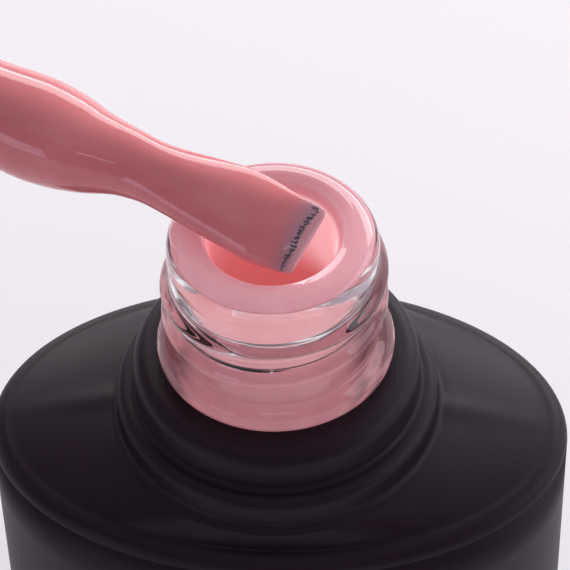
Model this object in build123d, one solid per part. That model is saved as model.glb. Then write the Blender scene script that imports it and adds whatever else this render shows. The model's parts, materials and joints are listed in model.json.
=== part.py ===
from build123d import *
import math
import os

# A gel nail polish bottle: an oval black-lacquered glass bottle with a clear threaded neck, and its
# brush applicator drawn out, with the loaded brush resting over the lip.
# Millimetres, +Z up, origin at the centre of the base. +X runs along the oval's long side.

# ---- bottle body -----------------------------------------------------------------------------
BODY_HALF_LENGTH = 17.0
BODY_HALF_DEPTH = 10.9
RIM_HEIGHT = 31.0            # top of the rounded edge where the wall meets the shoulder
RIM_ROUND = 0.9
MOUND_SINK = 0.4             # the shoulder's mound starts this far inside the body
BASE_ROUND = 1.0
WALL = 2.0
BASE_THICKNESS = 4.0
FLOOR_ROUND = 2.0            # inside edge between the wall and the floor
STICKER_THICKNESS = 0.15
STICKER_MARGIN = 2.8         # from the wall to the sticker's edge
STICKER_GAP = 0.2
LACQUER = 0.15
LACQUER_FOOT = 0.8           # the lacquer stops this far above the table

# ---- neck, with heights counted down from the top of the lip -----------------------------------
NECK_HEIGHT = 16.35           # from the rim of the body to the top of the lip
BORE_RADIUS = 3.8
BORE_LENGTH = 13.0
LIP_INNER_ROUND = 0.9
LIP_OUTER_ROUND = 1.1
LIP_SKIRT = 1.8              # where the lip has drawn in to the thread's root
NECK_RADIUS = 5.85           # root of the thread
LIP_FLARE = 0.15             # these four stand out from the thread's root
THREAD_DEPTH = 0.65
BEAD_STAND = 0.9
GROOVE_STAND = 0.25
THREAD_PITCH = 2.12
THREAD_TOP = 2.5             # highest centre line of the neck's thread
THREAD_TURNS = 2.0
THREAD_START = 90            # where the thread's foot starts around the neck, from +X
THREAD_ROOT_WIDTH = 1.15
THREAD_CREST_WIDTH = 0.45
BEAD_TOP = 7.8               # the bead that closes the neck, above the lacquer
BEAD_MIDDLE = 8.7
BEAD_BOTTOM = 9.5

# ---- collar under the neck: an upper step and a lower step --------------------------------------
COLLAR_TOP = 10.0
UPPER_STEP_RADIUS = 8.2
UPPER_STEP_ROUND = 1.0
LOWER_STEP_TOP = 12.7
LOWER_STEP_WIDTH = 1.1       # the lower step stands this far out from the upper one
LOWER_STEP_ROUND = 0.7
STEP_FILLET = 0.3
FOOT_DEPTH = 14.8
FOOT_FILLET = 0.5

# ---- polish --------------------------------------------------------------------------------------
POLISH_LEVEL = 14.5          # surface of the liquid, below the lip
WETTING_GAP = 0.03           # between the liquid's solid and the glass

# ---- applicator, built upright with its brush tip at z = 0 -------------------------------------
TIP_CLEARANCE = 1.6          # from the tip to the bottle's floor when the cap is screwed down
WASHER_THICKNESS = 1.0
WASHER_RADIUS = 5.6
STEM_RADIUS = 2.5
STEM_CLEARANCE = 0.1
NOSE_AT = 12.5               # where the bristles leave the stem
NOSE_RADIUS = 1.75
NOSE_LENGTH = 2.0
FLANGE_RADIUS = 5.4
FLANGE_THICKNESS = 1.2
PLUG_RADIUS = 3.2
PLUG_LENGTH = 5.4
TUFT_HOLE_RADIUS = 1.3
TUFT_HOLE_DEPTH = 5.3
TUFT_GAP = 0.02
ANCHOR_BITE = 0.15
ANCHOR_THICKNESS = 0.3
ANCHOR_HEIGHT = 1.6
CLOSURE_WALL = 1.0
CLOSURE_DECK = 1.5
CLOSURE_SKIRT = 7.2          # from the lip down to the skirt's edge
THREAD_CLEARANCE = 0.16
CLOSURE_THREAD_TURNS = 1.25
CLOSURE_THREAD_ROOT_WIDTH = 0.8
CLOSURE_THREAD_CREST_WIDTH = 0.35
SOCKET_WALL = 1.3
CAP_LENGTH = 38.0
CAP_MOUTH_RADIUS = 9.9
CAP_CROWN_RADIUS = 8.7
CAP_CROWN_THICKNESS = 2.0
CAP_CROWN_ROUND = 1.2
CAP_COLLAR_GAP = 0.4         # between the cap and the lacquered collar
CAP_FIT_GAP = 0.02           # between the closure and the cap around it

# ---- brush, loaded with polish -------------------------------------------------------------------
FLEX_BELOW_NOSE = 1.9        # centre of the bend, just under the stem's nose
TUFT_OVERLAP = 0.6           # the flat part of the tuft ends this far short of the bend
FLEX_BALL = 1.66             # polish around the bend
FLEX_GAP = 0.08
TUFT_BALL = 1.2
# share of the tuft's flat part, half width, half thickness
TUFT_SECTIONS = [(0.035, 1.80, 0.42), (0.27, 1.95, 0.60), (0.58, 1.65, 0.80), (1.0, 1.12, 1.05)]
LOAD_SECTIONS = [(0.0, 2.00, 0.55), (0.05, 2.15, 0.75), (0.27, 2.28, 0.95), (0.58, 2.02, 1.15),
                 (0.8, 1.70, 1.35), (1.0, 1.58, 1.50)]
# height above the stem's nose, radius over the stem's
STEM_LOAD = [(-1.1, -0.64), (-0.1, -0.40), (0.9, -0.08), (2.4, 0.30), (4.5, 0.52), (7.5, 0.36),
             (13.5, 0.16)]
STEM_LOAD_LENGTH = 14.5

# ---- where the applicator is held ----------------------------------------------------------------
HEADING = 154.9              # direction from the tip to the cap, seen from above, from +X
RISE = 3.1                   # of the cap's end above level
ROLL = 38.35                  # of the brush's width above level, about the applicator's axis
TIP_FROM_LIP = (1.89, -1.99, 1.55)

LIP_TOP = RIM_HEIGHT + NECK_HEIGHT
LIP_RADIUS = NECK_RADIUS + LIP_FLARE
THREAD_CREST_RADIUS = NECK_RADIUS + THREAD_DEPTH
BEAD_RADIUS = NECK_RADIUS + BEAD_STAND
GROOVE_RADIUS = NECK_RADIUS + GROOVE_STAND
LOWER_STEP_RADIUS = UPPER_STEP_RADIUS + LOWER_STEP_WIDTH
FLEX_AT = NOSE_AT - FLEX_BELOW_NOSE
TUFT_FLAT = FLEX_AT - TUFT_OVERLAP
LIP_AT = LIP_TOP - BASE_THICKNESS - TIP_CLEARANCE      # the lip's height in the applicator's own frame
BORE_BOTTOM = LIP_TOP - BORE_LENGTH
FOOT_RADIUS = LOWER_STEP_RADIUS + FOOT_FILLET
CLOSURE_BORE = THREAD_CREST_RADIUS + THREAD_CLEARANCE
CLOSURE_RADIUS = CLOSURE_BORE + CLOSURE_WALL
FLANGE_AT = LIP_AT + WASHER_THICKNESS
DECK_AT = FLANGE_AT + FLANGE_THICKNESS


def below_lip(depth):
    """Height above the table of a point that lies `depth` below the top of the lip."""
    return LIP_TOP - depth


def turned(outline):
    """Solid of revolution about Z from a closed outline in the XZ plane."""
    return revolve(Plane.XZ * make_face(outline), Axis.Z)


def ring(outer, inner, low, high):
    """Plain tube about Z."""
    tube = Pos(0, 0, low) * Cylinder(outer, high - low, align=(Align.CENTER, Align.CENTER, Align.MIN))
    if inner > 0:
        tube -= Pos(0, 0, low) * Cylinder(inner, high - low, align=(Align.CENTER, Align.CENTER, Align.MIN))
    return tube


def oval_prism(half_length, half_depth, low, high):
    """Upright oval column."""
    return extrude(Pos(0, 0, low) * Ellipse(half_length, half_depth), high - low)


def helical_ridge(wall_radius, crest_radius, root_width, crest_width, start, turns):
    """Thread ridge that stands on a cylinder of wall_radius, outwards or inwards."""
    sink = 0.1 if wall_radius < crest_radius else -0.1
    path = Helix(THREAD_PITCH, THREAD_PITCH * turns, wall_radius)
    profile = Polyline(
        (wall_radius - sink, -root_width / 2),
        (crest_radius, -crest_width / 2),
        (crest_radius, crest_width / 2),
        (wall_radius - sink, root_width / 2),
        close=True,
    )
    ridge = sweep(Plane.XZ * make_face(profile), path=path, is_frenet=True)
    return Pos(0, 0, start) * Rot(0, 0, THREAD_START) * ridge


def collar_outline(grow):
    """Half outline of the collar, grown outwards and upwards by `grow` for the lacquer."""
    def at(radius, depth):
        return (radius + grow, below_lip(depth) + grow)

    root = (GROOVE_RADIUS, COLLAR_TOP)
    shoulder_in = (UPPER_STEP_RADIUS - UPPER_STEP_ROUND, COLLAR_TOP)
    shoulder_out = (UPPER_STEP_RADIUS, COLLAR_TOP + UPPER_STEP_ROUND)
    step_in = (UPPER_STEP_RADIUS, LOWER_STEP_TOP - STEP_FILLET)
    step_out = (UPPER_STEP_RADIUS + STEP_FILLET, LOWER_STEP_TOP)
    lower_in = (LOWER_STEP_RADIUS - LOWER_STEP_ROUND, LOWER_STEP_TOP)
    lower_out = (LOWER_STEP_RADIUS, LOWER_STEP_TOP + LOWER_STEP_ROUND)
    foot_in = (LOWER_STEP_RADIUS, FOOT_DEPTH - FOOT_FILLET)
    foot_out = (FOOT_RADIUS, FOOT_DEPTH)
    bottom = below_lip(NECK_HEIGHT + RIM_ROUND)
    edges = [
        Line((0, bottom), (FOOT_RADIUS + grow, bottom)),
        Line((FOOT_RADIUS + grow, bottom), at(*foot_out)),
        RadiusArc(at(*foot_out), at(*foot_in), FOOT_FILLET),
        Line(at(*foot_in), at(*lower_out)),
        RadiusArc(at(*lower_out), at(*lower_in), -LOWER_STEP_ROUND),
    ]
    if LOWER_STEP_RADIUS - LOWER_STEP_ROUND > UPPER_STEP_RADIUS + STEP_FILLET + 1e-6:
        edges.append(Line(at(*lower_in), at(*step_out)))
        edges.append(RadiusArc(at(*step_out), at(*step_in), STEP_FILLET))
    else:
        edges.append(RadiusArc(at(*lower_in), at(*step_in), STEP_FILLET))
    edges += [
        Line(at(*step_in), at(*shoulder_out)),
        RadiusArc(at(*shoulder_out), at(*shoulder_in), -UPPER_STEP_ROUND),
        Line(at(*shoulder_in), at(*root)),
        Line(at(*root), (0, below_lip(COLLAR_TOP) + grow)),
        Line((0, below_lip(COLLAR_TOP) + grow), (0, bottom)),
    ]
    return edges


def bottle_form(grow=0.0):
    """Outside of the body, shoulder and collar, with no neck."""
    body = oval_prism(BODY_HALF_LENGTH + grow, BODY_HALF_DEPTH + grow, 0, RIM_HEIGHT + grow)
    body = fillet(body.edges().group_by(Axis.Z)[-1], RIM_ROUND + grow)
    body = fillet(body.edges().group_by(Axis.Z)[0], BASE_ROUND)
    mound_foot = Pos(0, 0, RIM_HEIGHT - MOUND_SINK + grow) * Ellipse(
        BODY_HALF_LENGTH - RIM_ROUND - MOUND_SINK / 4, BODY_HALF_DEPTH - RIM_ROUND - MOUND_SINK / 4
    )
    mound_top = Pos(0, 0, below_lip(FOOT_DEPTH) + grow) * Circle(FOOT_RADIUS + grow)
    mound = loft([mound_foot, mound_top])
    return body + mound + turned(collar_outline(grow))


def neck_solid():
    """Lip, threaded neck and closing bead, still without its bore."""
    lip_in = (BORE_RADIUS, below_lip(LIP_INNER_ROUND))
    lip_crest = (BORE_RADIUS + LIP_INNER_ROUND, LIP_TOP)
    lip_edge = (LIP_RADIUS - LIP_OUTER_ROUND, LIP_TOP)
    lip_out = (LIP_RADIUS, below_lip(LIP_OUTER_ROUND))
    root_top = (NECK_RADIUS, below_lip(LIP_SKIRT))
    inside = below_lip(COLLAR_TOP + 1)
    outline = [
        Line((BORE_RADIUS, inside), lip_in),
        RadiusArc(lip_in, lip_crest, LIP_INNER_ROUND),
        Line(lip_crest, lip_edge),
        RadiusArc(lip_edge, lip_out, LIP_OUTER_ROUND),
        Line(lip_out, root_top),
        Line(root_top, (NECK_RADIUS, below_lip(BEAD_TOP))),
        ThreePointArc(
            (NECK_RADIUS, below_lip(BEAD_TOP)),
            (BEAD_RADIUS, below_lip(BEAD_MIDDLE)),
            (GROOVE_RADIUS, below_lip(BEAD_BOTTOM)),
        ),
        Line((GROOVE_RADIUS, below_lip(BEAD_BOTTOM)), (GROOVE_RADIUS, inside)),
        Line((GROOVE_RADIUS, inside), (BORE_RADIUS, inside)),
    ]
    thread = helical_ridge(
        NECK_RADIUS,
        THREAD_CREST_RADIUS,
        THREAD_ROOT_WIDTH,
        THREAD_CREST_WIDTH,
        below_lip(THREAD_TOP + THREAD_PITCH * THREAD_TURNS),
        THREAD_TURNS,
    )
    return turned(outline) + thread


def cavity(inset=0.0):
    """Inside of the bottle below the bore; `inset` shrinks it for the liquid."""
    half_length = BODY_HALF_LENGTH - WALL - inset
    half_depth = BODY_HALF_DEPTH - WALL - inset
    top = RIM_HEIGHT - RIM_ROUND - WALL
    column = oval_prism(half_length, half_depth, BASE_THICKNESS + inset, top)
    column = fillet(column.edges().group_by(Axis.Z)[0], FLOOR_ROUND)
    cone = loft([
        Pos(0, 0, top) * Ellipse(half_length, half_depth),
        Pos(0, 0, BORE_BOTTOM) * Circle(BORE_RADIUS - inset),
    ])
    return column + cone


def bottle_glass():
    glass = bottle_form() + neck_solid()
    glass -= ring(BORE_RADIUS, 0, BORE_BOTTOM - 0.01, below_lip(LIP_INNER_ROUND) + 0.01)
    glass -= cavity()
    return glass - base_sticker(STICKER_GAP)


def base_sticker(grow=0.0):
    """Plain sticker let in flush with the base, or with `grow` the recess that takes it."""
    half_length = BODY_HALF_LENGTH - STICKER_MARGIN + grow
    half_depth = BODY_HALF_DEPTH - STICKER_MARGIN + grow
    return oval_prism(half_length, half_depth, 0, STICKER_THICKNESS)


def lacquer_coat():
    """Matte black lacquer from just above the table to just under the neck's bead."""
    top = below_lip(COLLAR_TOP) + LACQUER
    coat = bottle_form(LACQUER) - bottle_form()
    coat -= Pos(0, 0, -1) * Box(90, 90, 2 + 2 * LACQUER_FOOT, align=(Align.CENTER, Align.CENTER, Align.CENTER))
    coat -= ring(GROOVE_RADIUS, 0, below_lip(COLLAR_TOP + 1), top + 1)
    return coat


def polish_fill():
    """Liquid in the body, up to its level under the neck's bore."""
    level = below_lip(POLISH_LEVEL)
    above = ring(BODY_HALF_LENGTH + 5, 0, level, level + 30)
    return cavity(WETTING_GAP) - above


def stem_blank():
    """Rod with a blunt nose, the sealing flange and the plug that the closure grips."""
    shoulder = NOSE_AT + NOSE_LENGTH
    top = DECK_AT + PLUG_LENGTH
    outline = [
        Line((0, NOSE_AT), (NOSE_RADIUS, NOSE_AT)),
        ThreePointArc(
            (NOSE_RADIUS, NOSE_AT),
            (NOSE_RADIUS + 0.62 * (STEM_RADIUS - NOSE_RADIUS), NOSE_AT + 0.42 * NOSE_LENGTH),
            (STEM_RADIUS, shoulder),
        ),
        Line((STEM_RADIUS, shoulder), (STEM_RADIUS, FLANGE_AT)),
        Line((STEM_RADIUS, FLANGE_AT), (FLANGE_RADIUS, FLANGE_AT)),
        Line((FLANGE_RADIUS, FLANGE_AT), (FLANGE_RADIUS, DECK_AT)),
        Line((FLANGE_RADIUS, DECK_AT), (PLUG_RADIUS, DECK_AT)),
        Line((PLUG_RADIUS, DECK_AT), (PLUG_RADIUS, top)),
        Line((PLUG_RADIUS, top), (0, top)),
        Line((0, top), (0, NOSE_AT)),
    ]
    return turned(outline)


def brush_stem():
    """The stem with the hole for the folded bristles and the bite of their anchor."""
    hole = ring(TUFT_HOLE_RADIUS, 0, NOSE_AT - 1, NOSE_AT + TUFT_HOLE_DEPTH)
    return stem_blank() - hole - bristle_anchor()


def bristle_anchor():
    """Metal strip that the folded bristles hang on; its ends bite into the hole's wall."""
    top = NOSE_AT + TUFT_HOLE_DEPTH - TUFT_GAP
    length = 2 * (TUFT_HOLE_RADIUS + ANCHOR_BITE)
    align = (Align.CENTER, Align.CENTER, Align.MAX)
    return Pos(0, 0, top) * Box(length, ANCHOR_THICKNESS, ANCHOR_HEIGHT, align=align)


def bristle_roots():
    """The folded part of the bristles, held in the stem's hole."""
    top = NOSE_AT + TUFT_HOLE_DEPTH - TUFT_GAP
    return ring(TUFT_HOLE_RADIUS - TUFT_GAP, 0, NOSE_AT + TUFT_GAP, top) - bristle_anchor()


def flat_loft(sections):
    """Round-sided flat form through (share of the flat part, half width, half thickness) sections."""
    return loft([Pos(0, 0, share * TUFT_FLAT) * Ellipse(width, depth) for share, width, depth in sections])


def bristles():
    """The free part of the tuft: round where it bends, flat and wide at the tip."""
    return flat_loft(TUFT_SECTIONS) + Pos(0, 0, FLEX_AT) * Sphere(TUFT_BALL)


def polish_on_bristles():
    load = flat_loft(LOAD_SECTIONS) + Pos(0, 0, FLEX_AT) * Sphere(FLEX_BALL)
    return load - bristles()


def polish_on_stem():
    """Polish carried by the stem, open below where the loaded tuft bends."""
    points = [(STEM_RADIUS + over, NOSE_AT + above) for above, over in STEM_LOAD]
    foot_radius, foot_height = points[0]
    top_radius, top_height = points[-1]
    top = NOSE_AT + STEM_LOAD_LENGTH
    outline = [
        Line((0, foot_height), (foot_radius, foot_height)),
        Spline(points),
        Line((top_radius, top_height), (STEM_RADIUS, top)),
        Line((STEM_RADIUS, top), (0, top)),
        Line((0, top), (0, foot_height)),
    ]
    return turned(outline) - stem_blank() - Pos(0, 0, FLEX_AT) * Sphere(FLEX_BALL + FLEX_GAP)


def sealing_washer():
    return ring(WASHER_RADIUS, STEM_RADIUS + STEM_CLEARANCE, LIP_AT, FLANGE_AT)


def inner_closure():
    """Threaded insert: skirt, deck and the socket that grips the stem's plug."""
    skirt_edge = LIP_AT - CLOSURE_SKIRT
    deck_top = DECK_AT + CLOSURE_DECK
    socket_radius = PLUG_RADIUS + SOCKET_WALL
    skirt = ring(CLOSURE_RADIUS, CLOSURE_BORE, skirt_edge, DECK_AT)
    deck = ring(CLOSURE_RADIUS, PLUG_RADIUS, DECK_AT, deck_top)
    socket = ring(socket_radius, PLUG_RADIUS, DECK_AT, DECK_AT + PLUG_LENGTH)
    neck_thread_foot = LIP_AT - THREAD_TOP - THREAD_PITCH * THREAD_TURNS
    thread = helical_ridge(
        CLOSURE_BORE,
        NECK_RADIUS + THREAD_CLEARANCE,
        CLOSURE_THREAD_ROOT_WIDTH,
        CLOSURE_THREAD_CREST_WIDTH,
        neck_thread_foot + THREAD_PITCH / 2,
        CLOSURE_THREAD_TURNS,
    )
    return skirt + deck + socket + thread


def cap_shell():
    """Outer cap: a gently tapered shell that covers the closure and the collar's upper step."""
    mouth = LIP_AT - LOWER_STEP_TOP + LACQUER + CAP_COLLAR_GAP
    crown = mouth + CAP_LENGTH
    collar_bore = UPPER_STEP_RADIUS + LACQUER + CAP_COLLAR_GAP
    closure_foot = LIP_AT - CLOSURE_SKIRT - CAP_COLLAR_GAP
    closure_top = DECK_AT + CLOSURE_DECK
    hollow = CLOSURE_RADIUS - CLOSURE_WALL
    outside = turned([
        Line((0, mouth), (CAP_MOUTH_RADIUS, mouth)),
        Line((CAP_MOUTH_RADIUS, mouth), (CAP_CROWN_RADIUS, crown)),
        Line((CAP_CROWN_RADIUS, crown), (0, crown)),
        Line((0, crown), (0, mouth)),
    ])
    outside = fillet(outside.edges().group_by(Axis.Z)[-1], CAP_CROWN_ROUND)
    outside -= ring(collar_bore, 0, mouth - 1, closure_foot)
    outside -= ring(CLOSURE_RADIUS + CAP_FIT_GAP, 0, closure_foot - 1, closure_top)
    return outside - ring(hollow, 0, closure_top - 1, crown - CAP_CROWN_THICKNESS)


def held_frame():
    """Where the applicator is held: origin at the brush tip, z towards the cap, x across the flat brush."""
    heading, rise, roll = (math.radians(angle) for angle in (HEADING, RISE, ROLL))
    axis = Vector(
        math.cos(rise) * math.cos(heading), math.cos(rise) * math.sin(heading), math.sin(rise)
    )
    level = axis.cross(Vector(0, 0, 1)).normalized()
    upward = level.cross(axis)
    across = level * math.cos(roll) + upward * math.sin(roll)
    tip = Vector(*TIP_FROM_LIP) + Vector(0, 0, LIP_TOP)
    return Plane(origin=tip, x_dir=across, z_dir=axis)


BOTTLE_NODES = {
    "bottle_glass": bottle_glass,
    "lacquer_coat": lacquer_coat,
    "base_sticker": base_sticker,
    "polish_fill": polish_fill,
}
APPLICATOR_NODES = {
    "cap_shell": cap_shell,
    "inner_closure": inner_closure,
    "sealing_washer": sealing_washer,
    "brush_stem": brush_stem,
    "bristle_anchor": bristle_anchor,
    "bristle_roots": bristle_roots,
    "polish_on_stem": polish_on_stem,
    "bristles": bristles,
    "polish_on_bristles": polish_on_bristles,
}


def main():
    os.makedirs("parts", exist_ok=True)
    held = held_frame()
    for name, build in BOTTLE_NODES.items():
        export_step(build(), f"parts/{name}.step")
    for name, build in APPLICATOR_NODES.items():
        export_step(build().moved(held.location), f"parts/{name}.step")
    bend = held.origin + held.z_dir * FLEX_AT
    for title, vector in (("tip", held.origin), ("axis", held.z_dir), ("across", held.x_dir), ("bend", bend)):
        print(title, [round(value, 4) for value in vector])


main()
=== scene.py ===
# %% [markdown]
# # A gel nail polish bottle with its brush drawn out
# The object is a small oval glass bottle under matte black lacquer. Its clear threaded neck
# is wet with pink gel polish, and the loaded brush rests over the lip. The sizes and the
# places come from the CAD model, which is loaded first and stays as it is. Blender adds what
# CAD leaves out: rounded glass threads, polish that clings, bristle tips, and the finishes.

# %% Load the CAD frame
import json
import math
import random

import bmesh
import bpy
from mathutils import Matrix, Vector


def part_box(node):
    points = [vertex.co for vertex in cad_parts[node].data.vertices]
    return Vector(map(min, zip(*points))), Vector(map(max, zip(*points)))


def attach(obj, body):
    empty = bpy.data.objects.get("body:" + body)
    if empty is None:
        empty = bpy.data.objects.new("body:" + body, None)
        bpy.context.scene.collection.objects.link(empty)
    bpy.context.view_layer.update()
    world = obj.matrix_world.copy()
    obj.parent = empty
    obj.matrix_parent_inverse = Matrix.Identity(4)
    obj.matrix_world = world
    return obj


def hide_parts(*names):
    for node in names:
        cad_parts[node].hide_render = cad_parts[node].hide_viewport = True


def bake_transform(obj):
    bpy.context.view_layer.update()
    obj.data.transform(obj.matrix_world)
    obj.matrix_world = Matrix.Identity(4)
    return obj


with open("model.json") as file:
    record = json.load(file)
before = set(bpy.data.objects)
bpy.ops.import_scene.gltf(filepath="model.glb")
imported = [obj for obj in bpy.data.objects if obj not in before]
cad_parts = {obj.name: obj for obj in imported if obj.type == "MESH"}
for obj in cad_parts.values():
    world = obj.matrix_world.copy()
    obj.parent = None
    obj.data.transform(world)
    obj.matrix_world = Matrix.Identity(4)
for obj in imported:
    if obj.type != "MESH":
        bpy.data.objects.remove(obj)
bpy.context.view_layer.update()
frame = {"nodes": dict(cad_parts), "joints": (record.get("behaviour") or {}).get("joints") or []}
MM = 0.001

# %% [markdown]
# Positions are taken from the boxes of the CAD nodes. The lip's height is the top of the
# glass, and the oval's half length and half depth come from the glass's box. The neck's
# height, from the body's rim up to the lip, is the CAD model's own value.

# %% Read the main sizes
glass_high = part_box("bottle_glass")[1]
LIP_TOP = glass_high[2] / MM
HALF_LENGTH = glass_high[0] / MM
HALF_DEPTH = glass_high[1] / MM
NECK_HEIGHT = 16.35
RIM_HEIGHT = LIP_TOP - NECK_HEIGHT
print("lip top", round(LIP_TOP, 2), "mm")
print("oval", round(2 * HALF_LENGTH, 1), "x", round(2 * HALF_DEPTH, 1), "mm")

# %% [markdown]
# The brush is held at a slant, so it gets a frame of its own, read from the joints: `along`
# runs from the brush tip to the cap, `across` over the flat brush's width, and `through` over
# its thickness. The hinge joint sits where the bristles leave the stem, 10.6 mm from the tip.

# %% Set up the brush's own frame
joints = {joint["name"]: joint for joint in frame["joints"]}
BEND_AT = 10.6
along = Vector(joints["applicator_withdraw"]["axis"]).normalized()
across = -Vector(joints["bristle_flex"]["axis"]).normalized()
through = along.cross(across)
tip_point = Vector(joints["bristle_flex"]["pos_m"]) - along * BEND_AT * MM


def on_brush(height, sideways=0.0, thick=0.0):
    """A point of the brush's own frame, in metres."""
    return tip_point + (along * height + across * sideways + through * thick) * MM


print("brush tip at", [round(value / MM, 2) for value in tip_point], "mm")

# %% [markdown]
# ## Shader maths in Python
# A Blender material is a graph of nodes, and a graph is hard to read in code. Here one small
# class wraps a node's output so that `1 - mask` or `noise * 0.5 + 0.2` adds the Math nodes.
# Numbers alone never make nodes, because Python can work those out by itself.

# %% Wrap a socket so that it can be used in sums
class Wire:
    def __init__(self, graph, socket):
        self.graph, self.socket = graph, socket

    def maths(self, operation, *values):
        return self.graph.node("Math", {"operation": operation}, dict(enumerate(values)))

    def __add__(self, other): return self.maths("ADD", self, other)
    def __radd__(self, other): return self.maths("ADD", other, self)
    def __sub__(self, other): return self.maths("SUBTRACT", self, other)
    def __rsub__(self, other): return self.maths("SUBTRACT", other, self)
    def __mul__(self, other): return self.maths("MULTIPLY", self, other)
    def __rmul__(self, other): return self.maths("MULTIPLY", other, self)
    def __truediv__(self, other): return self.maths("DIVIDE", self, other)
    def __rtruediv__(self, other): return self.maths("DIVIDE", other, self)
    def __pow__(self, other): return self.maths("POWER", self, other)

    def between(self, low, high):
        """0 below low, 1 above high, and a smooth step from one to the other."""
        settings = {"interpolation_type": "SMOOTHSTEP"}
        values = {"Value": self, "From Min": low, "From Max": high}
        return self.graph.node("MapRange", settings, values)


# %% [markdown]
# A graph belongs to a material or to the world. Its `node` method is the single way to add a
# node: first the node's own settings are set, because they can change its sockets, and then
# the values and links of its sockets. Colours blend in a Mix node, since a Math node would
# turn them grey.

# %% Add nodes to a graph
class Graph:
    def __init__(self, owner):
        owner.use_nodes = True
        self.tree = owner.node_tree
        self.tree.nodes.clear()

    def node(self, kind, settings=None, values=None, out=0):
        made = self.tree.nodes.new("ShaderNode" + kind)
        for key, value in (settings or {}).items():
            setattr(made, key, value)
        for key, value in (values or {}).items():
            if isinstance(value, Wire):
                self.tree.links.new(value.socket, made.inputs[key])
            else:
                made.inputs[key].default_value = value
        return Wire(self, made.outputs[out])

    def blend(self, factor, first, second):
        """A colour that goes from first to second as factor goes from 0 to 1."""
        return self.node("Mix", {"data_type": "RGBA"}, {0: factor, 6: first, 7: second}, out=2)

    def axis(self, vector, index):
        """The x, y or z of a vector, for index 0, 1 or 2."""
        return self.node("SeparateXYZ", values={"Vector": vector}, out=index)

    def close(self, shader, output):
        self.tree.links.new(shader.socket, self.tree.nodes.new("ShaderNode" + output).inputs["Surface"])


print("graph helpers ready")

# %% [markdown]
# A finish is one material with its graph. Patterns are laid out in the piece's own
# coordinates, so their sizes are real ones: a noise of 2 mm has blotches 2 mm across.

# %% Build a material from named parts
class Finish(Graph):
    def __init__(self, name):
        self.material = bpy.data.materials.new(name)
        super().__init__(self.material)

    def place(self, scale=(1, 1, 1)):
        """The piece's own coordinates in metres, stretched by scale."""
        where = self.node("TexCoord", out=3)
        return self.node("VectorMath", {"operation": "MULTIPLY"}, {0: where, 1: scale})

    def noise(self, size, detail=3.0, roughness=0.5, scale=(1, 1, 1)):
        """Soft noise whose blotches are about size millimetres across."""
        values = {"Vector": self.place(scale), "Scale": 1 / (size * MM)}
        return self.node("TexNoise", values=values | {"Detail": detail, "Roughness": roughness})

    def bump(self, height, depth, strength=1.0):
        """A relief of depth millimetres for the Normal socket."""
        values = {"Height": height, "Distance": depth * MM, "Strength": strength}
        return self.node("Bump", values=values)

    def done(self, **values):
        """Close the finish with a Principled shader."""
        named = {key.replace("_", " "): value for key, value in values.items()}
        self.close(self.node("BsdfPrincipled", values=named), "OutputMaterial")
        return self.material


print("finish helpers ready")

# %% [markdown]
# ## The finishes
# Gel polish is a thick pigmented resin: an even pink body with a wet, mirror-smooth skin. The
# colour drifts a little, because the pigment streaks as the brush pulls through it, so
# stretched noise mixes two close pinks. The gel coat's mesh carries `reach`, its height above
# the brush's tip in millimetres. Near the tip the gel is thin, so the dark bristles turn it
# smoky, and at its very end only a pale brim of gel is left.

# %% Gel polish on the brush
def gel_polish(name, deep, pale, streak):
    gel = Finish(name)
    drift = gel.noise(2.2, detail=4.0, scale=streak)
    colour = gel.blend(drift.between(0.35, 0.7), deep, pale)
    return gel, colour


PINK_DEEP = (0.71, 0.205, 0.220, 1)
PINK_PALE = (0.77, 0.245, 0.260, 1)
gel, gel_colour = gel_polish("gel_polish", PINK_DEEP, PINK_PALE, (0.5, 0.9, 1.0))
reach = gel.node("Attribute", {"attribute_name": "reach"}, out=2)
SMOKY_PINK, BRIM_PINK = (0.46, 0.25, 0.31, 1), (0.70, 0.35, 0.39, 1)
gel_colour = gel.blend(reach.between(-0.1, 1.5), SMOKY_PINK, gel_colour)
gel_colour = gel.blend(reach.between(-0.3, 0.05), BRIM_PINK, gel_colour)
ripple = gel.noise(1.1, detail=1.0)
GEL = gel.done(
    Base_Color=gel_colour, Roughness=0.05, IOR=1.47,
    Subsurface_Weight=0.12, Subsurface_Radius=(0.0012, 0.0004, 0.0004), Subsurface_Scale=1.0,
    Normal=gel.bump(ripple, 0.006, 0.5),
)
print("finish:", GEL.name)

# %% [markdown]
# The film that wets the bore is the same polish in a thin layer. First come the masks, worked
# out from the place on the film: how far below the lip it is, whether it is the well's inside,
# whether it is on the far half of the lip, which gets painted shade, and where on the right of
# the well a painted backlight glow goes, broken by streaks of painted reflection.

# %% Masks for the film
FACE_DEEP, FACE_PALE = (0.50, 0.25, 0.28, 1), (0.56, 0.30, 0.33, 1)
film, face_colour = gel_polish("polish_film", FACE_DEEP, FACE_PALE, (1, 1, 0.35))
spot = film.node("TexCoord", out=3)
spot_x, spot_y, spot_z = (film.axis(spot, index) for index in range(3))
below_lip = (LIP_TOP * MM - spot_z) / MM
from_axis = (spot_x * spot_x + spot_y * spot_y) ** 0.5 / MM
inside = (1 - from_axis.between(3.68, 3.76)) * below_lip.between(0.3, 0.8)
# painted shade: this mask darkens the far half of the lip
behind = (spot_y / MM).between(0.5, 4.5) * (1 - below_lip.between(0.5, 1.0))
# streaks of painted reflection along the well's wall
streaks = film.noise(2.0, scale=(1, 1, 0.25))
rightward_mm = spot_x * 0.95 / MM + spot_y * 0.30 / MM
# painted backlight: the well's right side, where light comes through from behind
painted_backlight = (rightward_mm + streaks * 1.6).between(1.6, 4.0) * (1 - below_lip.between(4.0, 7.0))
print("masks worked out by", len(film.tree.nodes), "nodes")
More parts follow.
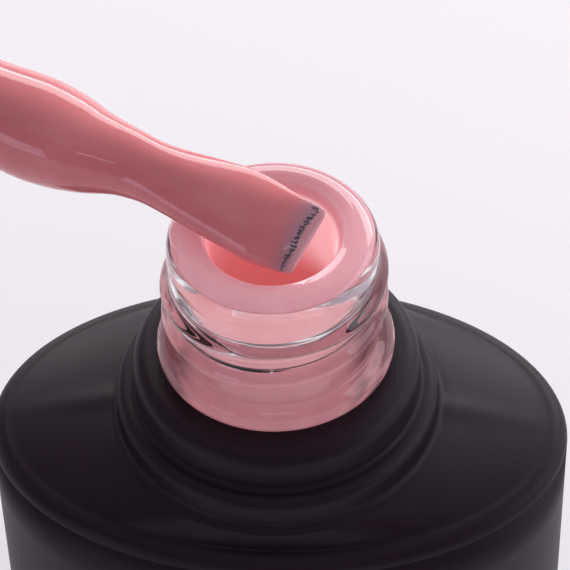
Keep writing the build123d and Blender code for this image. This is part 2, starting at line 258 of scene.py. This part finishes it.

# %% [markdown]
# Light that has wandered through the glass comes out of the film on every side. A faint glow
# of its own stands in for it, brightest on the neck's face under the lip and fainter deeper
# down. Inside the well the colour is painted redder and darker with depth as painted shade,
# and on the right it is painted pale, with a brighter glow, as painted backlight.

# %% Polish film on the glass
# painted shade: the well's wall goes redder and darker with depth
wall_colour = film.blend(below_lip.between(2.0, 7.0), (0.80, 0.36, 0.40, 1), (0.82, 0.26, 0.27, 1))
# painted backlight: the well's right side is painted pale
wall_colour = film.blend(painted_backlight * 0.85, wall_colour, (0.95, 0.80, 0.83, 1))
# painted shade: the far half of the lip is darkened
face_colour = film.blend(behind, face_colour, (0.30, 0.12, 0.14, 1))
neck_glow = film.blend(below_lip.between(0.3, 1.4), (0.62, 0.27, 0.31, 1), (0.97, 0.46, 0.48, 1))
neck_glow = film.blend(below_lip.between(3.5, 8.5), neck_glow, (0.50, 0.20, 0.23, 1))
# painted backlight: the glow is brighter on the well's right side
wall_glow = film.blend(painted_backlight, (0.32, 0.13, 0.13, 1), (0.70, 0.50, 0.53, 1))
FILM = film.done(
    Base_Color=film.blend(inside, face_colour, wall_colour), Roughness=0.05, IOR=1.5,
    Emission_Color=film.blend(inside, neck_glow, wall_glow), Emission_Strength=0.5,
    Subsurface_Weight=0.15, Subsurface_Radius=(0.0012, 0.0004, 0.0004), Subsurface_Scale=1.0,
)
print("finish:", FILM.name)

# %% [markdown]
# Moulded glass is never perfectly even. A faint waviness breaks the highlights on the threads
# into short, lively strokes, and a finer grain pits the bead under them. At the neck's two
# sides the glass is seen edge-on and looks through itself at the black body, so a painted dark
# reflection lies there in long bands in the glass's colour.

# %% Clear glass
CLEAR, PAINTED_DARK_REFLECTION = (1.0, 0.985, 0.985, 1), (0.17, 0.12, 0.15, 1)
glass = Finish("clear_glass")
wave = glass.noise(1.6, detail=2.0, scale=(0.6, 0.6, 1.6))
grain = glass.noise(0.22, detail=3.0, scale=(0.35, 0.35, 1.5))
glass_x, glass_z = (glass.axis(glass.place(), index) for index in (0, 2))
below_lip_mm = (LIP_TOP * MM - glass_z) / MM
pitted = below_lip_mm.between(6.8, 8.4) * (0.3 + 0.7 * glass.noise(1.3).between(0.42, 0.62)) + 0.06
# painted reflection: dark bands of the black body at the neck's two edges
painted_dark_bands = glass.noise(1.5, detail=2.0, scale=(0.4, 0.4, 1.4)).between(0.34, 0.50)
far_side = ((glass_x * glass_x) ** 0.5 / MM).between(4.0, 5.3) * below_lip_mm.between(0.8, 1.6)
GLASS = glass.done(
    Base_Color=glass.blend(far_side * painted_dark_bands, CLEAR, PAINTED_DARK_REFLECTION),
    Roughness=0.015, IOR=1.5, Transmission_Weight=1.0,
    Normal=glass.bump(wave * 0.5 + grain * pitted, 0.022, 0.5),
)
print("finish:", GLASS.name)

# %% [markdown]
# The lacquer is sprayed on and dries to a soft matte black. Spray leaves a very fine orange
# peel, and handling leaves patches that shine a little more, so roughness drifts with noise.

# %% Matte black lacquer
lacquer = Finish("matte_lacquer")
peel = lacquer.noise(0.16, detail=2.0)
handling = lacquer.noise(7.0, detail=4.0)
LACQUER = lacquer.done(
    Base_Color=lacquer.blend(handling, (0.0110, 0.0052, 0.0102, 1), (0.0155, 0.0084, 0.0148, 1)),
    Roughness=0.42 + handling * 0.08, IOR=1.5, Specular_IOR_Level=0.17,
    Normal=lacquer.bump(peel, 0.012, 0.35),
)
print("finish:", LACQUER.name)

# %% [markdown]
# The remaining finishes belong to parts that stay as CAD made them. Each one gets the detail
# that its real material shows: fine moulding texture on the cap, a slight cloudiness in the
# closure and the stem, open cells in the foam washer, and paper fibre in the base sticker.

# %% Cap, closure and stem plastics
cap = Finish("cap_plastic")
pebble = cap.noise(0.25, detail=4.0)
rub = cap.noise(9.0, detail=5.0)
CAP = cap.done(
    Base_Color=cap.blend(rub, (0.011, 0.010, 0.011, 1), (0.017, 0.016, 0.018, 1)),
    Roughness=0.38 + rub * 0.14, Normal=cap.bump(pebble, 0.02, 0.4),
)
closure = Finish("closure_plastic")
cloud = closure.noise(3.0, detail=4.0)
CLOSURE = closure.done(
    Base_Color=closure.blend(cloud, (0.80, 0.80, 0.79, 1), (0.87, 0.87, 0.87, 1)),
    Roughness=0.34 + cloud * 0.1,
    Subsurface_Weight=0.1, Subsurface_Radius=(0.001, 0.001, 0.001), Subsurface_Scale=1.0,
    Normal=closure.bump(closure.noise(0.5), 0.01, 0.4),
)
stem = Finish("stem_plastic")
draw = stem.noise(1.2, detail=4.0)
STEM = stem.done(
    Base_Color=stem.blend(draw, (0.70, 0.70, 0.68, 1), (0.79, 0.79, 0.78, 1)),
    Roughness=0.26 + draw * 0.12,
    Subsurface_Weight=0.3, Subsurface_Radius=(0.002, 0.002, 0.002), Subsurface_Scale=1.0,
    Normal=stem.bump(stem.noise(0.4), 0.008, 0.4),
)
print("finishes:", CAP.name, CLOSURE.name, STEM.name)

# %% Washer foam, anchor metal, bristle and sticker paper
foam = Finish("washer_foam")
cells = foam.node("TexVoronoi", {"feature": "F1"}, {"Vector": foam.place(), "Scale": 3200.0})
FOAM = foam.done(
    Base_Color=foam.blend(cells, (0.50, 0.50, 0.49, 1), (0.74, 0.74, 0.72, 1)), Roughness=0.85,
    Normal=foam.bump(cells, 0.06, 0.7),
)
anchor = Finish("anchor_metal")
drawn = anchor.noise(0.3, detail=3.0, scale=(0.2, 0.2, 2.0))
ANCHOR = anchor.done(
    Base_Color=(0.62, 0.61, 0.59, 1), Metallic=1.0, Roughness=0.24 + drawn * 0.2,
    Normal=anchor.bump(drawn, 0.004, 0.4),
)
bristle = Finish("bristle_nylon")
strands = bristle.noise(0.12, detail=2.0)
BRISTLE = bristle.done(
    Base_Color=bristle.blend(strands, (0.020, 0.016, 0.032, 1), (0.085, 0.075, 0.115, 1)),
    Roughness=0.32, Normal=bristle.bump(strands, 0.02, 0.5),
)
paper = Finish("sticker_paper")
fibre = paper.noise(0.35, detail=6.0, roughness=0.7)
PAPER = paper.done(
    Base_Color=paper.blend(fibre, (0.80, 0.79, 0.77, 1), (0.90, 0.90, 0.88, 1)),
    Roughness=0.6 + fibre * 0.2, Normal=paper.bump(fibre, 0.015, 0.5),
)
pool, pool_colour = gel_polish("liquid_polish", PINK_DEEP, PINK_PALE, (0.6, 0.6, 1))
POOL = pool.done(
    Base_Color=pool_colour, Roughness=0.05, Coat_Weight=0.5,
    Normal=pool.bump(pool.noise(4.0), 0.02, 0.4),
)
print("finishes:", FOAM.name, ANCHOR.name, BRISTLE.name, PAPER.name, POOL.name)

# %% Put the finishes on the CAD nodes that stay
for node, material in {
    "cap_shell": CAP, "inner_closure": CLOSURE, "brush_stem": STEM, "sealing_washer": FOAM,
    "bristle_anchor": ANCHOR, "bristle_roots": BRISTLE, "base_sticker": PAPER, "polish_fill": POOL,
}.items():
    for place in frame["nodes"][node].material_slots:
        place.material = material
    print("finished", node)

# %% [markdown]
# ## One way to make every turned form
# Most pieces here are skins: a row of closed loops, each with the same number of points, with
# faces between neighbours. The loops can be round, oval or carry a thread, and the same
# helper makes them all. Ends are closed with a fan around their middle.

# %% Stretch a skin over loops of points
def skin(name, loops, material, close_first=True, close_last=True):
    count = len(loops[0])
    points = [tuple(point) for loop in loops for point in loop]
    faces = []
    for row in range(len(loops) - 1):
        low, high = row * count, (row + 1) * count
        for i in range(count):
            j = (i + 1) % count
            faces.append((low + i, low + j, high + j, high + i))
    for wanted, row in ((close_first, 0), (close_last, len(loops) - 1)):
        if wanted:
            middle = sum((Vector(point) for point in loops[row]), Vector()) / count
            first, hub = row * count, len(points)
            points.append(tuple(middle))
            faces += [(first + i, first + (i + 1) % count, hub) for i in range(count)]
    mesh = bpy.data.meshes.new(name)
    mesh.from_pydata(points, [], faces)
    shape = bmesh.new()
    shape.from_mesh(mesh)
    bmesh.ops.recalc_face_normals(shape, faces=shape.faces)
    shape.to_mesh(mesh)
    shape.free()
    mesh.shade_smooth()
    mesh.materials.append(material)
    piece = bpy.data.objects.new(name, mesh)
    bpy.context.collection.objects.link(piece)
    print(name, len(mesh.polygons), "faces")
    return piece


# %% [markdown]
# A thin coat is a skin whose outline runs up one face and back along the other. Its first and
# last loops are left open and then joined to each other, so the coat is closed all round.

# %% Make a thin coat from an outline with two faces
def closed_coat(name, loops, material):
    piece = skin(name, loops, material, False, False)
    shape = bmesh.new()
    shape.from_mesh(piece.data)
    bmesh.ops.bridge_loops(shape, edges=[edge for edge in shape.edges if edge.is_boundary])
    bmesh.ops.recalc_face_normals(shape, faces=shape.faces)
    shape.to_mesh(piece.data)
    shape.free()
    return piece


print("skin helpers ready")

# %% [markdown]
# An outline is a list of (half length, half depth, depth below the lip) in millimetres. Above
# the shoulder both halves are the same radius. `bend` rounds a corner with a true arc, worked
# out as a weighted curve through its start, its corner and its end.

# %% Helpers for outlines
def bend(start, corner, end, steps=8, weight=0.7071):
    found = []
    for step in range(steps + 1):
        t = step / steps
        a, b, c = (1 - t) ** 2, 2 * t * (1 - t) * weight, t * t
        triples = zip(start, corner, end)
        found.append(tuple((a * s + b * k + c * e) / (a + b + c) for s, k, e in triples))
    return found


def run(start, end, steps):
    return [tuple(s + (e - s) * step / steps for s, e in zip(start, end)) for step in range(steps + 1)]


def round_ring(radius, depth):
    return (radius, radius, depth)


def oval_ring(inset, height):
    return (HALF_LENGTH - inset, HALF_DEPTH - inset, LIP_TOP - height)


TURN = 288
angles = [2 * math.pi * i / TURN for i in range(TURN)]


def loops_of(outline, rise=None):
    """Loops in metres for an outline; rise(angle, ring) may lift a point outwards or upwards."""
    loops = []
    for ring in outline:
        length, depth, below = ring
        loop = []
        for angle in angles:
            out, up = rise(angle, ring) if rise else (0.0, 0.0)
            loop.append(Vector((
                (length + out) * math.cos(angle), (depth + out) * math.sin(angle), LIP_TOP - below + up,
            )) * MM)
        loops.append(loop)
    return loops


print("outline helpers ready,", TURN, "points a turn")

# %% [markdown]
# ## The bottle's shoulder
# The same stepped collar is used twice: the glass follows it and the lacquer lies 0.15 mm
# outside it. It climbs from the oval rim over the sloping shoulder to a lower ring of 9.3 mm
# radius and an upper one of 8.2 mm. The mould's parting line runs over the shoulder along the
# oval's long side as a soft ridge, strongest where it meets the collar's foot.

# %% Outline of the body, from the base to the collar's top
COLLAR_TOP, GROOVE, UPPER_RING, LOWER_RING = 10.0, 6.1, 8.2, 9.3


def body_outline(grow=0.0, wall_from=1.0):
    def circle(radius, depth):
        return round_ring(radius + grow, depth - grow)

    def oval(inset, height):
        return oval_ring(inset - grow, height)

    rim = RIM_HEIGHT + grow
    outline = run(oval(0, wall_from), oval(0, rim - 0.9 - grow), 8)
    outline += bend(oval(0, rim - 0.9 - grow), oval(0, rim), oval(0.9 + grow, rim), 10)
    outline += run(oval(1.05 + grow, rim + 0.02), circle(9.8, 14.8), 14)[:-1]
    outline += bend(circle(9.8, 14.8), circle(LOWER_RING, 14.8), circle(LOWER_RING, 14.3), 6)
    outline += bend(circle(LOWER_RING, 13.4), circle(LOWER_RING, 12.7), circle(8.6, 12.7), 8)
    outline += bend(circle(8.5, 12.7), circle(UPPER_RING, 12.7), circle(UPPER_RING, 12.4), 6)
    outline += run(circle(UPPER_RING, 12.1), circle(UPPER_RING, 11.2), 3)
    outline += bend(circle(UPPER_RING, 11.0), circle(UPPER_RING, COLLAR_TOP), circle(7.2, COLLAR_TOP), 10)
    outline += run(circle(7.0, COLLAR_TOP), (GROOVE, GROOVE, COLLAR_TOP - grow), 4)
    return outline


print("body outline:", len(body_outline()), "rings")


# %% Ridge of the mould's parting line
SEAM_RISE, SEAM_HALF_WIDTH = 0.09, 0.75


def seam_rise(angle, ring):
    length, depth, below = ring
    if not 13.9 < below < 16.36:
        return 0.0, 0.0
    aside = abs(depth * math.sin(angle)) / SEAM_HALF_WIDTH
    outward = (length * abs(math.cos(angle)) - LOWER_RING) / (HALF_LENGTH - LOWER_RING)
    if outward < 0:
        return 0.0, 0.0
    fade = (1 - min(1.0, outward)) ** 1.2 * min(1.0, outward * 12 + 0.25)
    return 0.0, SEAM_RISE * math.exp(-aside * aside) * fade


print("ridge at the foot:", round(seam_rise(0.0, (9.9, 9.9, 14.8))[1], 3), "mm")

# %% [markdown]
# ## Glass with a moulded thread
# CAD's thread has flat flanks, which is right for a fit. Real glass flows in its mould, so the
# ridge here is a soft wave that follows the same helix: two turns, 2.12 mm apart, with its
# foot 6.74 mm below the lip on the far side. Its ends fade in and out over a short arc.

# %% Height of the thread at any point of the neck
PITCH, THREAD_FOOT, TURNS, THREAD_RISE = 2.12, 6.74, 2.0, 0.50
NECK_ROOT, END_FADE = 5.98, 0.09


def thread_rise(angle, ring):
    length, depth, below = ring
    if length > 6.0 or not 1.5 < below < 7.9:
        return 0.0, 0.0
    part = ((angle - math.pi / 2) / (2 * math.pi)) % 1.0
    rise = 0.0
    for turn in (part, part + 1.0):
        away = abs(below - (THREAD_FOOT - PITCH * turn))
        if away < 1.0:
            wave = 0.5 + 0.5 * math.cos(math.pi * away)
            ends = min(1.0, turn / END_FADE) * min(1.0, (TURNS - turn) / END_FADE)
            rise = max(rise, THREAD_RISE * wave * ends * ends * (3 - 2 * ends))
    return rise, 0.0


front_rise = thread_rise(1.5 * math.pi, (NECK_ROOT, NECK_ROOT, 3.56))[0]
print("thread in front, 3.56 mm down:", round(front_rise, 2), "mm")

# %% [markdown]
# The glass is one closed skin. It starts in the sticker's recess under the base, goes up the
# outside to the lip, over it and down the bore, and ends on the cavity's floor. Rays of light
# then enter and leave it as they would in a real bottle. Between the collar and the lip come
# the groove, the closing bead, the threaded neck and the lip's two rounded edges.

# %% Make the glass bottle
BORE = 3.8
outline = [oval_ring(2.6, 0.15), oval_ring(2.6, 0.0), oval_ring(1.0, 0.0)]
outline += bend(oval_ring(1.0, 0.0), oval_ring(0.0, 0.0), oval_ring(0.0, 1.0), 8)
outline += body_outline(0.0, 1.2)
outline += run(round_ring(GROOVE, 9.9), round_ring(GROOVE, 9.55), 3)
outline += bend(round_ring(GROOVE, 9.5), round_ring(7.25, 9.35), round_ring(6.72, 8.5), 12, 0.9)
outline += bend(round_ring(6.72, 8.45), round_ring(6.4, 7.9), round_ring(NECK_ROOT, 7.7), 8, 0.9)[:-1]
outline += run(round_ring(NECK_ROOT, 7.7), round_ring(NECK_ROOT, 1.8), 110)
outline += bend(round_ring(NECK_ROOT, 1.75), round_ring(6.0, 1.6), round_ring(6.0, 1.1), 6, 0.9)
outline += bend(round_ring(6.0, 1.1), round_ring(6.0, 0.0), round_ring(4.9, 0.0), 16)[1:]
outline += bend(round_ring(4.7, 0.0), round_ring(BORE, 0.0), round_ring(BORE, 0.9), 14)
outline += run(round_ring(BORE, 1.2), round_ring(BORE, 9.9), 10)
outline += bend(round_ring(BORE, 10.1), round_ring(BORE, 10.6), round_ring(5.2, 10.9), 6, 0.9)
outline += bend(round_ring(5.6, 11.0), round_ring(6.3, 11.2), round_ring(6.4, 12.4), 6, 0.9)
outline += run(round_ring(6.6, 13.6), oval_ring(2.0, RIM_HEIGHT - 2.9), 8)
outline += run(oval_ring(2.0, RIM_HEIGHT - 4.0), oval_ring(2.0, 6.0), 6)
outline += bend(oval_ring(2.0, 6.0), oval_ring(2.0, 4.0), oval_ring(4.0, 4.0), 6)
bottle = skin("glass_bottle", loops_of(outline, thread_rise), GLASS)
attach(bottle, "bottle")
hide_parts("bottle_glass")

# %% [markdown]
# ## Lacquer over the body
# The lacquer is a thin shell: its outside is 0.15 mm off the glass, and it stops just above
# the table and under the neck's bead. Both faces are made, so its two edges show their real
# thickness.

# %% Make the lacquer coat
LACQUER_THICK, LACQUER_FOOT, HAIR = 0.15, 0.8, 0.004
coat = body_outline(LACQUER_THICK, LACQUER_FOOT) + [round_ring(GROOVE, COLLAR_TOP - 0.14)]
under = body_outline(HAIR, LACQUER_FOOT)
lacquer_skin = closed_coat("lacquer_skin", loops_of(under[::-1] + coat, seam_rise), LACQUER)
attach(lacquer_skin, "bottle")
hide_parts("lacquer_coat")

# %% [markdown]
# ## Polish on the neck
# Every dip of the brush leaves polish in the bore. The film is 0.2 mm thick on the bore's wall,
# swells to a low crest on the lip and thins out towards the lip's outer edge. It reaches a
# hair into the glass, so that no air lies between them and the wet pink shows through the
# glass right up to the neck's edges.

# %% Make the film in the bore and over the lip
SINK, FILM_THICK = 0.03, 0.2
wall = run(round_ring(6.6, 13.2), round_ring(6.4 + SINK, 12.4), 2)
wall += bend(round_ring(6.4 + SINK, 12.3), round_ring(6.3, 11.1), round_ring(5.6, 10.97), 6, 0.9)
wall += bend(round_ring(5.2, 10.87), round_ring(BORE + SINK, 10.6), round_ring(BORE + SINK, 10.1), 6, 0.9)
wall += run(round_ring(BORE + SINK, 9.9), round_ring(BORE + SINK, 1.0), 6)
wall += bend(round_ring(BORE + SINK, 0.9), round_ring(BORE + SINK, SINK), round_ring(4.7, SINK), 14)
wall += bend(round_ring(4.9, SINK), round_ring(5.5, SINK), round_ring(5.70, 0.44), 6, 0.8)
edge = [round_ring(5.73, 0.42)]
inner = bend(round_ring(5.66, 0.28), round_ring(5.35, -0.02), round_ring(4.9, -0.06), 10, 0.8)
inner += bend(round_ring(4.8, -0.075), round_ring(4.62, -0.115), round_ring(4.42, -0.085), 8, 0.9)
inner += run(round_ring(4.36, -0.07), round_ring(4.06, 0.01), 3)
inner += bend(
    round_ring(4.02, 0.022), round_ring(BORE - 0.08, 0.10), round_ring(BORE - 0.16, 0.95), 14, 0.8,
)
inner += run(round_ring(BORE - FILM_THICK, 1.2), round_ring(BORE - FILM_THICK, 10.3), 8)
inner += bend(round_ring(BORE - FILM_THICK, 10.5), round_ring(4.0, 10.9), round_ring(5.0, 11.1), 5, 0.9)
inner += run(round_ring(5.6, 11.3), round_ring(6.2, 13.2), 4)


def sag(angle, ring):
    """The film is a little uneven, as it is when it has run down the wall."""
    length, depth, below = ring
    if length > BORE or below < 0.5:
        return 0.0, 0.0
    return -0.05 * (0.5 + 0.5 * math.sin(3 * angle + 0.7 * below)), 0.0


film_piece = closed_coat("polish_film", loops_of(wall + edge + inner, sag), FILM)
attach(film_piece, "bottle")

# %% [markdown]
# ## The loaded brush
# The stem carries a fat drop of gel, and the flat brush under it is soaked, so stem and
# bristles have one smooth skin. Each section is a height above the tip, a half width and a
# half thickness in millimetres, and a smooth curve runs through them.

# %% Sections of the gel along the brush
SECTIONS = [
    (-0.55, 1.62, 0.12), (-0.50, 1.86, 0.24), (-0.36, 2.00, 0.38), (0.0, 2.07, 0.54),
    (0.5, 2.13, 0.68), (1.4, 2.22, 0.82), (2.7, 2.35, 1.06), (4.2, 2.33, 1.18),
    (5.8, 2.19, 1.28), (8.0, 1.92, 1.42), (9.6, 1.81, 1.52), (10.8, 1.91, 1.70),
    (11.8, 2.08, 1.96), (13.4, 2.46, 2.44), (14.9, 2.80, 2.80), (17.0, 3.01, 3.01),
    (20.0, 2.86, 2.86), (26.0, 2.66, 2.66), (26.8, 2.56, 2.56),
]


def section_at(height):
    """Half width and half thickness at a height, by a smooth curve through the sections."""
    last = len(SECTIONS) - 1
    k = max(i for i in range(last) if SECTIONS[i][0] <= height)
    a, b = SECTIONS[k], SECTIONS[k + 1]
    t = (height - a[0]) / (b[0] - a[0])
    values = []
    for side in (1, 2):
        def slope(i):
            lower, upper = SECTIONS[max(0, i - 1)], SECTIONS[min(last, i + 1)]
            return (upper[side] - lower[side]) / (upper[0] - lower[0])
        span = b[0] - a[0]
        values.append(
            (2 * t**3 - 3 * t**2 + 1) * a[side] + (t**3 - 2 * t**2 + t) * span * slope(k)
            + (3 * t**2 - 2 * t**3) * b[side] + (t**3 - t**2) * span * slope(k + 1)
        )
    return values


print("fattest part of the load:", round(2 * section_at(17.0)[0], 2), "mm across")

# %% [markdown]
# The load is not quite even. On the flat part the gel hangs 0.23 mm to one side, and its
# section there is like a lens along the upper edge, which catches a long band of light. The
# end is cut a little askew.

# %% Helpers for the uneven load
def ease(value, low, high):
    t = min(1.0, max(0.0, (value - low) / (high - low)))
    return t * t * (3 - 2 * t)


def lean(height):
    """The gel hangs a little to one side of the flat part."""
    return 0.23 * ease(height, 1.5, 5.0) * (1 - ease(height, 10.8, 13.6))


def outline_point(height, angle):
    """A point of a section, from -1 to 1 each way: oval, but lens-like along its upper edge."""
    flat = ease(height, 0.4, 3.0) * (1 - ease(height, 7.0, 11.5))
    c, s = math.cos(angle), math.sin(angle)
    width_power = 2 + (0.5 if c > 0 else 0.7) * flat
    thick_power = 2 + (-0.85 if c > 0 else 0.7) * flat
    return math.copysign(abs(c) ** (2 / width_power), c), math.copysign(abs(s) ** (2 / thick_power), s)


def slant(height, sideways):
    """The brush is cut a little askew: its end is further out on one side of its width."""
    near_end = min(1.0, max(0.0, (1.8 - height) / 1.8))
    return height + 0.22 * (1 - sideways) * near_end * near_end


print("the end is", round(slant(0.0, -1.0) - slant(0.0, 1.0), 2), "mm askew")

# %% Make the gel coat over brush and stem
heights = [-0.55, -0.54, -0.52, -0.50, -0.46, -0.41, -0.36, -0.28, -0.18, -0.06, 0.06, 0.2, 0.35, 0.5]
heights += [0.5 + 0.12 * i for i in range(1, 219)] + [26.8]
AROUND, LAST, STEM_SKIN = 96, 26.95, 2.502
turns = [2 * math.pi * i / AROUND for i in range(AROUND)]
loops, reaches = [], []
for height in heights:
    wide, thick = section_at(height)
    loop = []
    for angle in turns:
        sideways, outward = outline_point(height, angle)
        where = lean(height) + wide * sideways
        loop.append(on_brush(slant(height, math.cos(angle)), where, thick * outward))
        reaches.append(height)
    loops.append(loop)
loops.append([
    on_brush(LAST, STEM_SKIN * math.cos(angle), STEM_SKIN * math.sin(angle)) for angle in turns
])
reaches += [LAST] * AROUND + [heights[0], LAST]
gel_coat = skin("gel_coat", loops, GEL)
marks = gel_coat.data.attributes.new("reach", "FLOAT", "POINT")
marks.data.foreach_set("value", reaches)
tuple(on_brush(12.2))
tuple(on_brush(9.0))
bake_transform(gel_coat)
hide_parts("polish_on_stem", "polish_on_bristles")

# %% [markdown]
# Where the brush has been wiped, gel gathers on the lip in a low drop that reaches up to the
# wet brush. It belongs to the bottle, so it stays on the lip when the brush is drawn out.

# %% Make the drop that gathers on the lip
DROP_RADIUS, DROP_HEADING, DROP_STEPS = 4.85, 176, 10
drop_loops = []
for step in range(DROP_STEPS + 1):
    part = step / DROP_STEPS
    loop = []
    for i in range(72):
        angle = 2 * math.pi * i / 72
        reach_in, reach_round = 0.95 * (1 - part) ** 0.8, 24 * (1 - part) ** 0.8
        radius = DROP_RADIUS + reach_in * math.cos(angle)
        turn = math.radians(DROP_HEADING + reach_round * math.sin(angle))
        lip_drape = 0.42 * max(0.0, radius - 4.9) ** 2 + 0.5 * max(0.0, 4.5 - radius) ** 2
        height = LIP_TOP + 0.04 - lip_drape + 0.25 * math.sin(part * math.pi / 2)
        loop.append(Vector((radius * math.cos(turn), radius * math.sin(turn), height)) * MM)
    drop_loops.append(loop)
drop = skin("lip_drop", drop_loops, FILM)
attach(drop, "bottle")

# %% [markdown]
# ## Bristles
# The brush is made of nylon filaments that fan out from the stem's round hole to the flat
# tip. Most of them are hidden in the gel. At the tip they are cut unevenly, and the outermost
# ones just break its surface, which draws the dark ragged line near the brush's end.

# %% Make the bristle filaments
random.seed(7)
points, faces = [], []


def filament(path, radius):
    first = len(points)
    for k, centre in enumerate(path):
        size = radius * (0.6 if k == len(path) - 1 else 1.0)
        for i in range(6):
            angle = math.pi * i / 3
            points.append(centre + (across * math.cos(angle) + through * math.sin(angle)) * size * MM)
    for k in range(len(path) - 1):
        for i in range(6):
            j = (i + 1) % 6
            low, high = first + 6 * k, first + 6 * k + 6
            faces.append((low + i, low + j, high + j, high + i))
    faces.append(tuple(first + i for i in range(6))[::-1])
    faces.append(tuple(first + 6 * (len(path) - 1) + i for i in range(6)))


FILAMENTS, GOLDEN_TURN = 230, 2.39996
for k in range(FILAMENTS):
    turn, spread = k * GOLDEN_TURN, math.sqrt((k + 0.5) / FILAMENTS)
    end_height = 0.12 + 0.25 * random.random()
    path = []
    for height in (9.9, 8.6, 7.0, 5.4, 3.8, 2.4, 1.2, end_height):
        wide, thick = section_at(height)
        hidden = 1.0 - 0.30 / thick if height > 1.3 else 0.93
        sideways = lean(height) + wide * hidden * 0.97 * spread * math.cos(turn)
        path.append(on_brush(height, sideways, thick * hidden * spread * math.sin(turn)))
    filament(path, 0.055)
print(len(points), "points in", FILAMENTS, "filaments")

# %% Add the outer tips that break the gel's surface
TIPS_EACH_SIDE = 55
for k in range(2 * TIPS_EACH_SIDE):
    side = 1 if k % 2 else -1
    sideways = -0.97 + 1.94 * ((k // 2) + random.random()) / TIPS_EACH_SIDE
    top = -0.16 + 0.14 * random.random() + 0.06 * math.sin(6 * sideways) - 0.06 * sideways
    length = 0.10 + 0.22 * random.random() ** 2
    path = []
    for part in (1.6, 1.0, 0.0):
        wide, thick = section_at(top + length * part)
        rim = math.sqrt(max(0.0, 1 - sideways**2))
        outward = side * thick * rim * (0.90 if part > 1 else 0.996)
        path.append(on_brush(slant(top + length * part, sideways), wide * sideways * 0.985, outward))
    filament(path, 0.026 + 0.018 * random.random())
print(2 * TIPS_EACH_SIDE, "outer tips")

# %% Put all the filaments in one piece
mesh = bpy.data.meshes.new("bristle_filaments")
mesh.from_pydata([tuple(point) for point in points], [], faces)
mesh.shade_smooth()
mesh.materials.append(BRISTLE)
filaments = bpy.data.objects.new("bristle_filaments", mesh)
bpy.context.collection.objects.link(filaments)
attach(filaments, "tuft")
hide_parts("bristles")
print("bristles:", len(mesh.polygons), "faces")

# %% [markdown]
# ## Room, light and camera
# The bottle stands on a plain pale table in soft studio light. A long bright window lies low
# behind it, with a paler panel over it. They draw the white line along the brush and rim the
# lip. A fainter window stands low in front to the left, and a narrow one higher in front. A
# broad panel on the right lifts the body's side. The room is dim in front and overhead, so
# the matte black shoulder stays black.

# %% Floor
TABLE_TOP = -0.00002
TABLE = Finish("pale_table").done(Base_Color=(0.96, 0.955, 0.965, 1), Roughness=0.7)
floor_loops = [
    [Vector((size * math.cos(angle), size * math.sin(angle), TABLE_TOP)) for angle in angles[::6]]
    for size in (0.05, 3.0)
]
floor = skin("table", floor_loops, TABLE, True, False)
floor.data.flip_normals()

# %% Light from the room around
FRONT_GREY, BACK_GREY, TOP_GREY = (0.14, 0.12, 0.15, 1), (0.66, 0.64, 0.68, 1), (0.50, 0.47, 0.50, 1)
world = bpy.data.worlds.new("studio")
bpy.context.scene.world = world
sky = Graph(world)
way = sky.node("TexCoord", out=0)
backward, upward = sky.axis(way, 1), sky.axis(way, 2)
horizon = sky.blend(backward.between(-0.5, 0.6), FRONT_GREY, BACK_GREY)
room = sky.blend(upward.between(0.55, 0.85), horizon, TOP_GREY)
sky.close(sky.node("Background", values={"Color": room, "Strength": 1.0}), "OutputWorld")
print("world:", world.name)


# %% Softboxes
NECK_MIDDLE = Vector((0, 0, 0.045))


def softbox(name, heading, height, distance, wide, tall, brightness, tint=(1, 1, 1)):
    """A panel seen from the bottle at a heading (0 in front, 90 to the right) and height in degrees."""
    lamp = bpy.data.lights.new(name, "AREA")
    lamp.shape = "RECTANGLE"
    lamp.size, lamp.size_y = wide, tall
    lamp.energy = brightness * math.pi * wide * tall
    lamp.color = tint
    panel = bpy.data.objects.new(name, lamp)
    h, e = math.radians(heading), math.radians(height)
    away = Vector((math.sin(h) * math.cos(e), -math.cos(h) * math.cos(e), math.sin(e)))
    panel.location = NECK_MIDDLE + away * distance
    panel.rotation_euler = away.to_track_quat("Z", "Y").to_euler()
    panel.visible_camera = False
    bpy.context.collection.objects.link(panel)
    print(name, "at", [round(v, 2) for v in panel.location])


softbox("window_behind", 172, 17, 0.9, 1.3, 0.13, 7.0)
softbox("panel_behind", 172, 30, 0.9, 1.3, 0.24, 4.1)
softbox("window_front_left", -42, 5, 0.9, 0.35, 0.26, 2.0, (0.90, 0.78, 1.0))
softbox("window_front", 3, 34, 0.9, 0.40, 0.08, 1.6)
softbox("panel_right", 95, 20, 0.9, 0.9, 0.5, 1.9, (0.96, 0.95, 1.0))
softbox("panel_left", -110, 30, 0.9, 0.5, 0.5, 0.25)

# %% [markdown]
# The camera looks down on the neck at about 47 degrees through a long lens from 176 mm away.
# Its place, its line of sight and its upward direction are set outright, and it has no shift.

# %% Camera
sight = Vector((-0.04864, 0.66596, -0.74440)).normalized()
upright = Vector((-0.02489, 0.74424, 0.66744))
rightward = sight.cross(upright).normalized()
upright = rightward.cross(sight)
lens = bpy.data.cameras.new("camera")
lens.lens, lens.sensor_width, lens.sensor_fit = 199.7, 36.0, "HORIZONTAL"
lens.clip_start = 0.01
camera = bpy.data.objects.new("camera", lens)
rows = (rightward, upright, -sight)
camera.matrix_world = Matrix([[axis[i] for axis in rows] for i in range(3)]).to_4x4()
camera.location = (0.00932, -0.11913, 0.17614)
bpy.context.collection.objects.link(camera)
bpy.context.scene.camera = camera
bpy.context.scene.view_settings.view_transform = "Standard"
print("camera at", tuple(camera.location))
